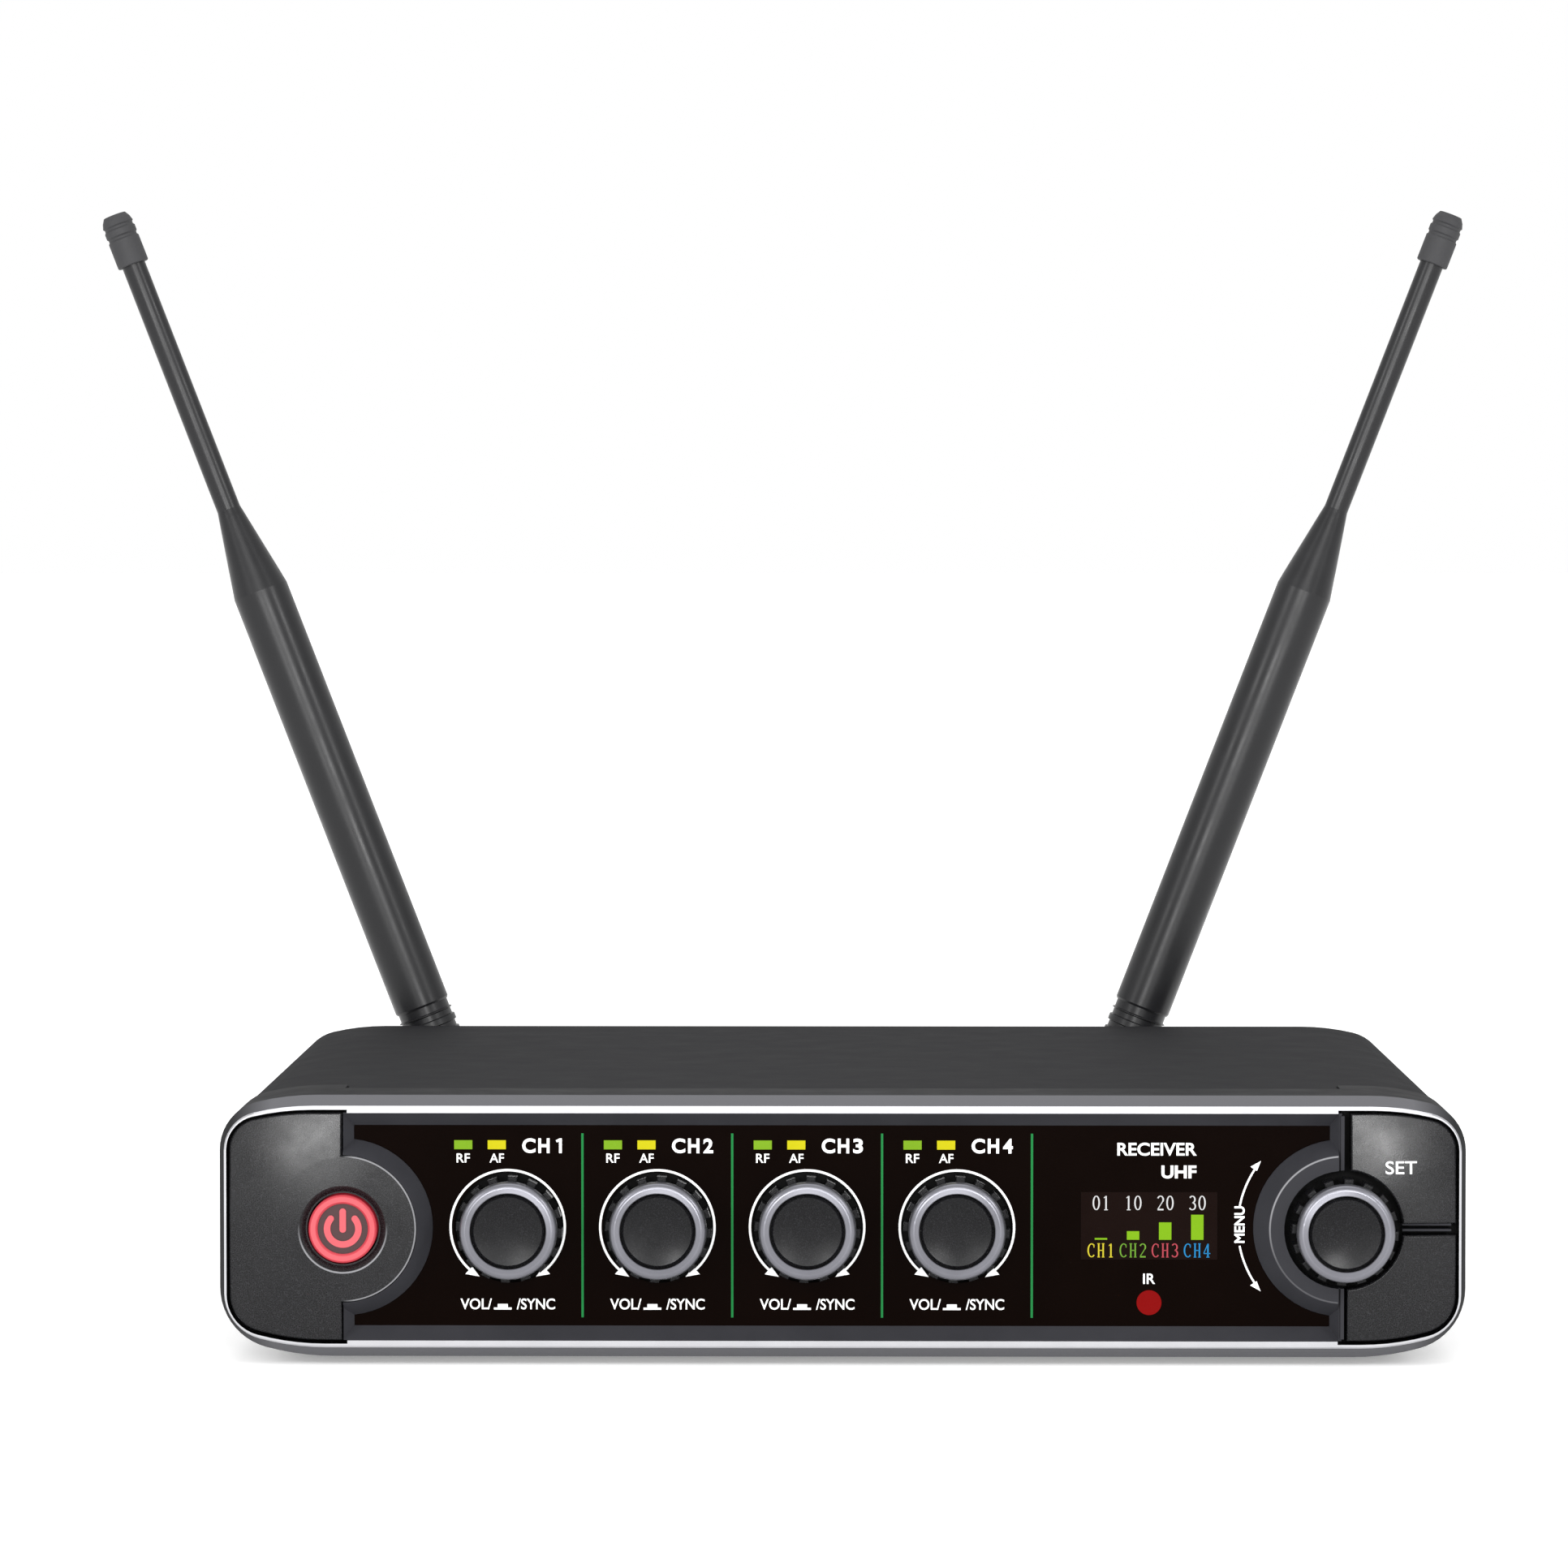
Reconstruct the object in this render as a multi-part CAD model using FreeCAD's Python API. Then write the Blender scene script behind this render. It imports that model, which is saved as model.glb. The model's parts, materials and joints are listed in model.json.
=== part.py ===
"""Four-channel wireless receiver unit: case, front controls, boards, rear sockets and two folding antennas.

Frame: millimetres, +Z up, the front faces -Y and +X is the viewer's right.  The origin is the centre of
the case's footprint, on the plane that the feet stand on.  "depth" is measured back from the front plane.
"""
import FreeCAD, Part
import math
import os

from FreeCAD import Vector

# ---------------------------------------------------------------- driving dimensions
# case
case_width = 210.4
case_height = 44.3
case_depth = 156.0
foot_height = 1.7
bezel_drop = 0.3            # the bezel stands this far proud of the covers all round
shoulder_radius = 44.0      # the top and bottom edges crown gently into the corners
shoulder_top = 13.2         # degrees of crown at the top corners
shoulder_bottom = 15.0
corner_top, shrink_top = 8.4, 1.1    # corner radius, and how much of it is lost per millimetre of inset
corner_bottom, shrink_bottom = 10.5, 1.5
cover_wall = 1.8
seam_gap = 0.2
post_x = 80.0               # screw posts, left and right
post_depths = (36.0, 130.0)
lug_x, lug_rise = 99.0, 11.0
foot_x = 76.0
foot_depths = (22.0, 142.0)

# bezel and end caps
frame_depth = 15.0
frame_end_depth = 21.5      # the bezel's two ends reach further back over the covers
bevel_depth = 2.0
trim_side, trim_edge = 0.9, 1.7      # inset of the bright lip's outer edge
trim_front, trim_round = 0.3, 0.25   # how far the lip stands out, and its rounded edge
lip_side, lip_edge = 1.3, 2.35       # inset of its inner edge beside the end caps
lip_edge_middle = 2.9                # and along the fascia
end_edge = 84.4                      # where the end caps begin, left and right
cap_side, cap_edge = 1.75, 2.9       # inset of the end caps' outline
cap_round = 0.35
dome_radius, dome_rise = 130.0, 1.33  # crown of the end caps, in front of the front plane

# fascia
fascia_depth, fascia_thickness = 2.4, 1.6
fascia_left, fascia_right, fascia_half = -82.5, 82.3, 17.0
slope_left, slope_right, slope_half, slope_depth = -84.2, 83.7, 19.15, 0.5
bulge_radius, bulge_foot = 12.5, 15.0
plate_front, plate_back = 4.0, 6.0

# controls and lights
control_drop = 0.3          # controls sit this far under the middle of the front
channels = 4
first_knob_x, knob_pitch = -56.13, 25.15
first_lamp_x, lamp_pitch = -56.54, 25.31    # the printed columns are spaced a little wider than the knobs
knob_hole, bush_hole = 9.4, 4.2
knob_front, dial_front = -5.1, -8.0
knob_body = 7.8             # radius of the knobs' solid core, which the silver rings sit on
dial_x, dial_recess = 84.4, 10.0
shaft_radius = 3.0
power_x, power_sink = -84.2, 0.15    # the power button's ring sits this far under the cap's crown
power_radius, power_well = 5.75, 7.3
set_offset = (11.0, 9.0)    # the set button's switch, from the dial's centre
display_x, display_width, display_height = 51.85, 23.1, 11.5
led_width, led_height, led_rise = 3.05, 1.5, 13.65
rf_offset, af_offset = -7.5, -1.83
ir_drop, ir_radius = 13.0, 2.1

# boards
board_thickness = 1.6
front_board_depth = 12.0
main_board_z = 8.0
ribbon_half_width = 12.0
ribbon_socket_depth = 29.5

# rear
panel_back, panel_thickness = 155.2, 1.5
xlr_x, xlr_pitch, xlr_radius = -51.0, 26.0, 9.6
jack_x, inlet_x, rear_low_z = 66.0, 88.0, 16.1

# antennas
antenna_left_x, antenna_right_x = -71.7, 48.0
antenna_tilt = 21.15        # degrees outward from upright
antenna_depth, antenna_drop = 162.0, 1.05
elbow_radius, ear_radius = 5.4, 4.4
hinge_radius = 1.2
whip_radius, rod_radius, tip_radius = 5.4, 2.3, 3.07
whip_length = 192.8

# ---------------------------------------------------------------- derived places
front_y = -case_depth / 2
bezel_bottom = foot_height - bezel_drop
bezel_top = bezel_bottom + case_height
middle_z = (bezel_bottom + bezel_top) / 2
control_z = middle_z - control_drop
antenna_z = middle_z - antenna_drop
cover_floor = bezel_bottom + bezel_drop + cover_wall
board_top = main_board_z + board_thickness
front_board_back = front_board_depth + board_thickness
panel_front = panel_back - panel_thickness
wing_edge = end_edge + 0.6
dome_centre = dome_radius - dome_rise
bulge_front = dome_centre - math.sqrt(dome_radius ** 2 - bulge_radius ** 2)
knob_xs = [first_knob_x + knob_pitch * n for n in range(channels)]
lamp_xs = [first_lamp_x + lamp_pitch * n for n in range(channels)]
xlr_xs = [xlr_x + xlr_pitch * n for n in range(channels)]
set_x, set_z = dial_x + set_offset[0], control_z + set_offset[1]
SIDES = (-1, 1)
UP, BACK, ACROSS = Vector(0, 0, 1), Vector(0, 1, 0), Vector(1, 0, 0)
ROOM = 10.0                 # how far a cutting block reaches past what it cuts


# ---------------------------------------------------------------- helpers
def box(x0, x1, depth0, depth1, z0, z1):
    """Block between two corners, given by x, depth and z."""
    corner = Vector(x0, front_y + depth0, z0)
    return Part.makeBox(x1 - x0, depth1 - depth0, z1 - z0, corner)


def slab(x0, x1, depth0, depth1):
    """Block taller than the case."""
    return box(x0, x1, depth0, depth1, bezel_bottom - ROOM, bezel_top + ROOM)


def ends(limit, depth0, depth1):
    """Two slabs that cover everything beyond limit, left and right."""
    return slab(-case_width, -limit, depth0, depth1).fuse(slab(limit, case_width, depth0, depth1))


def rod(x, z, radius, depth0, depth1):
    """Cylinder along the depth direction."""
    return Part.makeCylinder(radius, depth1 - depth0, Vector(x, front_y + depth0, z), BACK)


def post(x, depth, radius, z0, z1):
    """Upright cylinder."""
    return Part.makeCylinder(radius, z1 - z0, Vector(x, front_y + depth, z0), UP)


def tube(x, z, outer, inner, depth0, depth1):
    return rod(x, z, outer, depth0, depth1).cut(rod(x, z, inner, depth0 - 1, depth1 + 1))


def cone(x, z, radius0, radius1, depth0, depth1):
    start = Vector(x, front_y + depth0, z)
    return Part.makeCone(radius0, radius1, depth1 - depth0, start, BACK)


def polygon(points):
    return Part.Face(Part.makePolygon(points + points[:1]))


def turned(x, z, profile):
    """Solid of revolution about a depth axis, from (radius, depth) points."""
    face = polygon([Vector(x + radius, front_y + depth, z) for radius, depth in profile])
    return face.revolve(Vector(x, 0, z), BACK, 360)


def upright(profile):
    """Solid of revolution about Z from (radius, height) points."""
    return polygon([Vector(radius, 0, height) for radius, height in profile]).revolve(Vector(), UP, 360)


def fuse(shapes):
    shapes = list(shapes)
    return shapes[0].multiFuse(shapes[1:]) if len(shapes) > 1 else shapes[0]


def corner_points(radius, crown):
    """Points of a two-arc corner as (in from the side, in from the edge), from the side to the edge."""
    crown = math.radians(crown)
    width = radius + (shoulder_radius - radius) * math.sin(crown)
    height = shoulder_radius - (shoulder_radius - radius) * math.cos(crown)
    bend = math.pi / 2 - crown

    def small(angle):
        return radius * (1 - math.cos(angle)), height - radius * math.sin(angle)

    def large(angle):
        return width - shoulder_radius * math.sin(angle), shoulder_radius * (1 - math.cos(angle))

    return [small(0), small(bend / 2), small(bend), large(crown / 2), large(0)]


def case_outline(side, edge, depth):
    """The case's section as a wire, inset from the bezel's outline by side and edge."""
    half = case_width / 2 - side
    low, high = bezel_bottom + edge, bezel_top - edge
    top = corner_points(corner_top - shrink_top * edge, shoulder_top)
    bottom = corner_points(corner_bottom - shrink_bottom * edge, shoulder_bottom)
    y = front_y + depth

    def place(sign, points, z, up):
        return [Vector(sign * (half - u), y, z + up * v) for u, v in points]

    chains = [
        place(1, bottom, low, 1)[::-1],
        place(1, top, high, -1),
        place(-1, top, high, -1)[::-1],
        place(-1, bottom, low, 1),
    ]
    edges = []
    for chain, following in zip(chains, chains[1:] + chains[:1]):
        edges.append(Part.Arc(chain[0], chain[1], chain[2]).toShape())
        edges.append(Part.Arc(chain[2], chain[3], chain[4]).toShape())
        edges.append(Part.LineSegment(chain[4], following[0]).toShape())
    return Part.Wire(edges)


def section(side, edge, depth0, depth1):
    """Solid of the case's inset section between two depths."""
    face = Part.Face(case_outline(side, edge, depth0))
    return face.extrude(Vector(0, depth1 - depth0, 0))


def bevel(side0, edge0, depth0, side1, edge1, depth1):
    wires = [case_outline(side0, edge0, depth0), case_outline(side1, edge1, depth1)]
    return Part.makeLoft(wires, True, True)


def soften(solid, depth, radius):
    """Round the edges that lie in the plane at the given depth."""
    y = front_y + depth
    flat = [e for e in solid.Edges if max(abs(e.BoundBox.YMin - y), abs(e.BoundBox.YMax - y)) < 1e-4]
    return solid.makeFillet(radius, flat)


def dome(x):
    """Ball whose front is the crown of an end cap."""
    return Part.makeSphere(dome_radius, Vector(x, front_y + dome_centre, control_z))


def soften_dome(solid, radius):
    """Round the edges where a crowned face ends."""
    edges = [edge for face in solid.Faces if isinstance(face.Surface, Part.Sphere) for edge in face.Edges]
    return solid.makeFillet(radius, edges)


def cross_slot(centre, width, length, axis):
    """Two crossed bars that cut a screw's drive, both ways across the given axis."""
    first, second = (ACROSS, BACK) if axis == UP else (ACROSS, UP)
    bars = []
    for long, short in ((first, second), (second, first)):
        size = long * length + short * width + axis
        bars.append(Part.makeBox(size.x, size.y, size.z, centre - size * 0.5))
    return fuse(bars)


# ---------------------------------------------------------------- case
def front_frame():
    body = bevel(trim_side, trim_edge, 0, 0, 0, bevel_depth)
    body = body.fuse(section(0, 0, bevel_depth, frame_depth))
    wings = section(0, 0, frame_depth, frame_end_depth).common(ends(wing_edge, 0, frame_end_depth + 1))
    body = body.fuse(wings)
    return body.cut(section(trim_side, trim_edge, -1, frame_end_depth + 1)).removeSplitter()


def frame_trim():
    """Bright lip: a thin ring, wider along the fascia than beside the end caps."""
    lip_back = 3.0
    middle_half = end_edge - 0.9
    edge = trim_round - trim_front
    body = bevel(trim_side + trim_round, trim_edge + trim_round, -trim_front, trim_side, trim_edge, edge)
    body = body.fuse(section(trim_side, trim_edge, edge, lip_back))
    opening = section(lip_side, lip_edge, -1, lip_back + 1)
    middle = slab(-middle_half, middle_half, -1, lip_back + 1)
    lip = section(lip_side, lip_edge_middle, -1, lip_back + 1)
    opening = opening.cut(middle).fuse(lip.common(middle))
    return body.cut(opening).removeSplitter()


def cover(low, high):
    """Half of the case's tube between two heights, and the same half filled in."""
    outer = section(bezel_drop, bezel_drop, frame_depth + seam_gap, case_depth)
    inset = bezel_drop + cover_wall
    shell = outer.cut(section(inset, inset, 0, case_depth + 1))
    half = box(-case_width, case_width, 0, case_depth + 1, low, high)
    notches = ends(wing_edge - seam_gap, 0, frame_end_depth + seam_gap)
    return shell.common(half).cut(notches), outer.common(half)


def rear_lug(side, z):
    """Block inside the cover that takes a screw through the rear panel."""
    inner, outer, half = 95.8, 104.0, 3.2
    x0, x1 = sorted((side * inner, side * outer))
    return box(x0, x1, panel_front - 10, panel_front - 0.1, z - half, z + half)


def lug_hole(side, z):
    return rod(side * lug_x, z, 1.4, panel_front - 9, panel_back + ROOM)


def top_cover():
    shell, solid = cover(middle_z + seam_gap / 2, bezel_top + ROOM)
    post_foot, hole_top = bezel_bottom + 3.2, bezel_bottom + 16
    places = [(side * post_x, depth) for side in SIDES for depth in post_depths]
    inside = section(bezel_drop, bezel_drop, frame_depth + seam_gap, case_depth)
    posts = [post(x, depth, 3.4, post_foot, bezel_top + ROOM).common(inside) for x, depth in places]
    holes = [post(x, depth, 1.3, post_foot - 1, hole_top) for x, depth in places]
    lugs = [rear_lug(side, middle_z + lug_rise).common(solid) for side in SIDES]
    holes += [lug_hole(side, middle_z + lug_rise) for side in SIDES]
    return shell.fuse(fuse(posts + lugs)).cut(fuse(holes))


def bottom_cover():
    shell, solid = cover(bezel_bottom - ROOM, middle_z - seam_gap / 2)
    lugs = [rear_lug(side, middle_z - lug_rise).common(solid) for side in SIDES]
    pillars = [post(x, depth, 3.0, cover_floor - 0.5, main_board_z)
               for x in (-66, 0, 66) for depth in (40, 118)]
    holes = [lug_hole(side, middle_z - lug_rise) for side in SIDES]
    for side in SIDES:
        for depth in post_depths:
            sink = Vector(side * post_x, front_y + depth, foot_height)
            holes.append(post(side * post_x, depth, 1.65, bezel_bottom, cover_floor + 1))
            holes.append(Part.makeCone(3.0, 1.65, 1.3, sink, UP))
    return shell.fuse(fuse(lugs + pillars)).cut(fuse(holes))


def rear_panel():
    inset = bezel_drop + cover_wall + 0.1
    through = (panel_front - 1, panel_back + 1)
    plate = section(inset, inset, panel_front, panel_back)
    holes = [rod(x, middle_z, 11.9, *through) for x in xlr_xs]
    holes += [rod(x, antenna_z, 4.6, *through) for x in (antenna_left_x, antenna_right_x)]
    holes += [rod(jack_x, rear_low_z, 5.1, *through), rod(inlet_x, rear_low_z, 4.1, *through)]
    for side in SIDES:
        holes += [rod(side * lug_x, middle_z + rise, 1.7, *through) for rise in (-lug_rise, lug_rise)]
    return plate.cut(fuse(holes))


def feet():
    return [Part.makeCone(6.4, 7.0, foot_height, Vector(side * foot_x, front_y + depth, 0), UP)
            for side in SIDES for depth in foot_depths]


def case_screws():
    """Countersunk screws through the bottom cover into the top cover's posts."""
    head_z, head_height, shank_length = foot_height + 0.1, 1.25, 12.2
    screws = []
    for side in SIDES:
        for depth in post_depths:
            place = Vector(side * post_x, front_y + depth, head_z)
            head = Part.makeCone(2.85, 1.5, head_height, place, UP)
            shank = post(side * post_x, depth, 1.3, head_z + head_height / 2, head_z + shank_length)
            slot = cross_slot(place + UP * 0.2, 0.6, 3.0, UP)
            screws.append(head.fuse(shank).cut(slot))
    return screws


def rear_screws():
    """Domed screws that hold the rear panel to the covers' lugs."""
    screws = []
    for side in SIDES:
        for rise in (-lug_rise, lug_rise):
            x, z = side * lug_x, middle_z + rise
            head = turned(x, z, [
                (0, panel_back + 1.5), (1.2, panel_back + 1.4), (2.2, panel_back + 0.9), (2.6, panel_back),
                (0, panel_back)])
            shank = rod(x, z, 1.4, panel_front - 7.7, panel_back)
            slot = cross_slot(Vector(x, front_y + panel_back + 1.3, z), 0.6, 3.0, BACK)
            screws.append(head.fuse(shank).cut(slot))
    return screws


# ---------------------------------------------------------------- front
def bulge(x, depth1):
    """Round control area: a crowned top with sloping sides that stands on the fascia."""
    slope = (bulge_foot - bulge_radius) / (fascia_depth - bulge_front)
    apex = bulge_radius - slope * (bulge_front + dome_rise)
    body = cone(x, control_z, apex, bulge_foot, -dome_rise, fascia_depth).common(dome(x))
    body = soften(body, bulge_front, cap_round)
    return body.fuse(rod(x, control_z, bulge_foot, fascia_depth, depth1))


def fascia_window(front, back):
    """The fascia's recess: four slopes down to the panel and straight walls behind it."""
    def rectangle(left, right, half, depth):
        corners = [(left, -half), (right, -half), (right, half), (left, half)]
        points = [Vector(x, front_y + depth, middle_z + z) for x, z in corners]
        return Part.makePolygon(points + points[:1])

    slope = Part.makeLoft([
        rectangle(slope_left, slope_right, slope_half, slope_depth),
        rectangle(fascia_left, fascia_right, fascia_half, fascia_depth),
    ], True, True)
    well = box(fascia_left, fascia_right, fascia_depth, back, middle_z - fascia_half, middle_z + fascia_half)
    mouth = box(slope_left, slope_right, front, slope_depth, middle_z - slope_half, middle_z + slope_half)
    return slope.fuse(well).fuse(mouth)


def window(x, z, width, height, depth0, depth1, spare):
    """Rectangular block round a centre, larger by spare on every side."""
    w, h = width / 2 + spare, height / 2 + spare
    return box(x - w, x + w, depth0, depth1, z - h, z + h)


def light_hole(x, offset, depth0, depth1, spare):
    return window(x + offset, middle_z + led_rise, led_width, led_height, depth0, depth1, spare)


def display_hole(depth0, depth1, spare):
    return window(display_x, middle_z, display_width, display_height, depth0, depth1, spare)


def front_holes(spare):
    """The holes for the lamps and the infrared window, through the fascia and the plate behind it."""
    reach = (-ROOM, ROOM)
    holes = [light_hole(x, offset, *reach, spare) for x in lamp_xs for offset in (rf_offset, af_offset)]
    holes.append(rod(display_x, middle_z - ir_drop, ir_radius + spare, *reach))
    return fuse(holes)


def front_moulding():
    """Plate behind the front, the slopes round the fascia and the walls between the end pieces."""
    plate = section(lip_side, lip_edge, plate_front, plate_back)
    rim = section(lip_side, lip_edge_middle, slope_depth, plate_front)
    rim = rim.cut(fascia_window(-1, plate_front + 1)).cut(ends(end_edge - 0.2, -1, plate_front))
    left = bulge(power_x, plate_front).common(slab(power_x, 0, -ROOM, ROOM))
    right = bulge(dial_x, plate_front).common(slab(0, dial_x - 0.8, -ROOM, ROOM))

    high, low = bezel_top - lip_edge_middle - 0.4, bezel_bottom + lip_edge_middle + 0.4
    inner, outer = dial_recess - 1, dial_x + 18.2
    upright_front, level_front = -0.3, 0.3
    walls = [box(dial_x - 0.45, dial_x + 0.15, upright_front, plate_front, z0, z1)
             for z0, z1 in ((control_z + inner, high), (low, control_z - inner))]
    walls += [box(dial_x + inner, outer, level_front, plate_front, control_z + z, control_z + z + 0.35)
              for z in (-0.3, 0.65)]

    body = plate.fuse(fuse([rim, left, right] + walls))
    body = body.cut(rod(dial_x, control_z, dial_recess, -ROOM, plate_front))
    body = body.cut(rod(power_x, control_z, bulge_radius, -ROOM, plate_front))
    body = body.cut(front_holes(0.15)).cut(display_hole(-ROOM, ROOM, 2.0))
    bushes = [rod(x, control_z, bush_hole, plate_front - 1, ROOM) for x in knob_xs + [dial_x]]
    stems = [rod(power_x, control_z, 2.8, 3, ROOM), rod(set_x, set_z, 2.4, 3, ROOM)]
    return body.cut(fuse(bushes + stems)).removeSplitter()


def fascia_panel():
    """Glossy panel between the round control areas."""
    body = box(fascia_left, fascia_right, fascia_depth, fascia_depth + fascia_thickness,
               middle_z - fascia_half, middle_z + fascia_half)
    corners = [e for e in body.Edges if abs(e.BoundBox.YLength - fascia_thickness) < 1e-6]
    body = body.makeFillet(0.4, corners)
    rounds = [rod(x, control_z, bulge_foot + 0.05, 0, ROOM) for x in (power_x, dial_x)]
    rounds += [rod(x, control_z, knob_hole, 0, ROOM) for x in knob_xs]
    return body.cut(fuse(rounds)).cut(front_holes(0.03)).cut(display_hole(0, ROOM, 0.03))


def left_end_cap():
    """Crowned cap with the well that the power button sits in."""
    block = section(cap_side, cap_edge, -dome_rise, plate_front)
    block = block.common(slab(-case_width, -end_edge, -ROOM, ROOM))
    disc = rod(power_x, control_z, bulge_radius - 0.1, -dome_rise, plate_front)
    block, disc = (soften_dome(solid.common(dome(power_x)), cap_round) for solid in (block, disc))
    body = block.fuse(disc).removeSplitter()
    shelf, bore = power_radius + 0.55, power_radius + 0.3
    shelf_depth = -0.15
    well = turned(power_x, control_z, [
        (0, -ROOM), (power_well, -ROOM), (power_well, -0.95), (shelf, shelf_depth), (bore, shelf_depth),
        (bore, ROOM), (0, ROOM)])
    return body.cut(well)


def quadrant(left, low, high):
    """Crowned part of the right-hand end that lies round the menu dial."""
    block = section(cap_side, cap_edge, -dome_rise, plate_front - 0.6)
    block = block.common(box(left, case_width, -ROOM, ROOM, low, high)).common(dome(dial_x))
    return soften_dome(block.cut(rod(dial_x, control_z, dial_recess, -ROOM, ROOM)), cap_round)


def right_end_cap():
    body = quadrant(dial_x + 0.65, bezel_bottom - ROOM, control_z - 0.9)
    peg_places = ((6, -15), (15, -7))
    pegs = [rod(dial_x + x, control_z + z, 1.5, plate_front - 0.7, plate_front) for x, z in peg_places]
    return body.fuse(fuse(pegs))


def set_button():
    body = quadrant(dial_x + 1.25, control_z + 1.05, bezel_top + ROOM)
    return body.fuse(rod(set_x, set_z, 2.0, plate_front - 0.7, 9.0))


def power_symbol(depth0, depth1):
    """Broken ring with a bar, the usual standby sign."""
    middle, stroke, half_gap = 2.65, 1.1, math.radians(50)
    bar_low, bar_high = -0.1, 2.9
    reach = 6.0
    x, z = power_x, control_z
    across, along = math.sin(half_gap), math.cos(half_gap)
    ring = tube(x, z, middle + stroke / 2, middle - stroke / 2, depth0, depth1)
    corners = [(0, 0), (reach * across, reach * along), (0, 2 * reach), (-reach * across, reach * along)]
    wedge = polygon([Vector(x + u, front_y + depth0 - 1, z + v) for u, v in corners])
    wedge = wedge.extrude(BACK * (depth1 - depth0 + 2))
    tips = [rod(x + side * middle * across, z + middle * along, stroke / 2, depth0, depth1) for side in SIDES]
    bar = [box(x - stroke / 2, x + stroke / 2, depth0, depth1, z + bar_low, z + bar_high)]
    bar += [rod(x, z + height, stroke / 2, depth0, depth1) for height in (bar_low, bar_high)]
    return fuse([ring.cut(wedge)] + tips + bar)


def power_button_lens():
    """Red light guide: the ring, the raised sign and the stem to the switch."""
    ring_front = power_sink - dome_rise
    floor = ring_front + 1.1
    inner, outer, edge, back = power_radius - 1.5, power_radius, 0.35, 3.3
    lens = turned(power_x, control_z, [
        (0, floor), (inner, floor), (inner, ring_front + edge), (inner + edge, ring_front),
        (outer - edge, ring_front), (outer, ring_front + edge), (outer, back), (0, back)])
    stem = rod(power_x, control_z, 2.4, back, 9.0)
    return fuse([lens, stem, power_symbol(ring_front + 0.4, floor)])


def power_button_face():
    """Dark disc inside the ring, pierced by the sign."""
    front = power_sink - dome_rise + 0.65
    floor = front + 0.45
    return rod(power_x, control_z, power_radius - 1.5, front, floor).cut(power_symbol(front - 1, floor + 1))


# ---------------------------------------------------------------- knobs
def knob_core(x, front):
    """Dark ribbed knob with a dished face."""
    z, back = control_z, front + 8.0
    face_radius, dish_rim, dish_depth = 6.15, 5.75, 0.42
    face, seat, rib_front = front + 0.45, front + 2.5, front + 3.3
    rib_count, rib_turn, rib_half, rib_reach = 16, 4.0, 0.8, 8.95
    core = turned(x, z, [
        (0, face), (dish_rim, face), (face_radius, face + 0.35), (face_radius, seat), (knob_body, seat),
        (knob_body, back), (0, back)])
    dish_radius = (dish_rim ** 2 + dish_depth ** 2) / (2 * dish_depth)
    core = core.cut(Part.makeSphere(dish_radius, Vector(x, front_y + face + dish_depth - dish_radius, z)))
    ribs = []
    for n in range(rib_count):
        rib = box(x + knob_body - 0.3, x + rib_reach, rib_front, back, z - rib_half, z + rib_half)
        rib = soften(rib, rib_front, 0.25)
        rib.rotate(Vector(x, 0, z), BACK, rib_turn + n * 360 / rib_count)
        ribs.append(rib)
    bore = rod(x, z, shaft_radius, front + 2.6, back + 1)
    return core.fuse(fuse(ribs)).cut(bore).removeSplitter()


def knob_ring(x, front):
    """Silver ring: its crest is the inner edge, from which it slopes gently out and rolls over."""
    inner, crest, shoulder, outer = 6.4, 6.52, 7.2, 8.22
    slope, roll, back, seat = 0.2, 1.3, 2.8, 2.5
    bend = math.radians(45)

    def place(radius, depth):
        return Vector(x + radius, front_y + front + depth, control_z)

    start, end = place(shoulder, slope), place(outer, roll)
    middle = place(shoulder + (outer - shoulder) * math.sin(bend), roll - (roll - slope) * math.cos(bend))
    line = [end, place(outer, back), place(knob_body, back), place(knob_body, seat), place(inner, seat),
            place(inner, crest - inner), place(crest, 0), start]
    edges = [Part.LineSegment(a, b).toShape() for a, b in zip(line, line[1:])]
    edges.append(Part.Arc(start, middle, end).toShape())
    return Part.Face(Part.Wire(edges)).revolve(Vector(x, 0, control_z), BACK, 360)


def knob_shaft(x, front):
    return rod(x, control_z, shaft_radius, front + 2.6, 10.9)


def encoder_rotor(x):
    return tube(x, control_z, 4.5, shaft_radius + 0.05, 8.0, 10.0)


def encoder_bodies():
    """Encoder housings on the front board, each hollow for its rotor."""
    half, front, bush_front = 6.2, 6.6, 4.4
    bodies = []
    for x in knob_xs + [dial_x]:
        body = window(x, control_z, 2 * half, 2 * half, front, front_board_depth, 0)
        body = body.fuse(rod(x, control_z, 3.9, bush_front, front))
        body = body.cut(rod(x, control_z, shaft_radius + 0.05, bush_front - 1, 7.5))
        bodies.append(body.cut(rod(x, control_z, 4.8, 7.4, front_board_depth - 0.4)))
    return bodies


# ---------------------------------------------------------------- front lights, display and boards
def light_pipes(offset):
    return [light_hole(x, offset, fascia_depth - 0.05, front_board_depth - 0.1, 0) for x in lamp_xs]


def ir_window():
    return rod(display_x, middle_z - ir_drop, ir_radius, fascia_depth - 0.1, 7.5)


def display_module():
    """Glass in the fascia's window, its frame behind and the pin header to the front board."""
    frame_back = 7.0
    glass = display_hole(fascia_depth + 0.1, plate_front + 0.5, 0)
    frame = display_hole(plate_front + 0.3, frame_back, 1.8)
    header = window(display_x, middle_z + 3.25, 20.0, 2.5, frame_back, front_board_depth, 0)
    return fuse([glass, frame, header])


def front_board():
    left, right, half = -96.0, 100.0, 17.0
    board = box(left, right, front_board_depth, front_board_back, middle_z - half, middle_z + half)
    socket = box(-ribbon_half_width - 2, ribbon_half_width + 2, front_board_back, front_board_back + 3,
                 middle_z - 5, middle_z - 0.5)
    return [board, socket]


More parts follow.
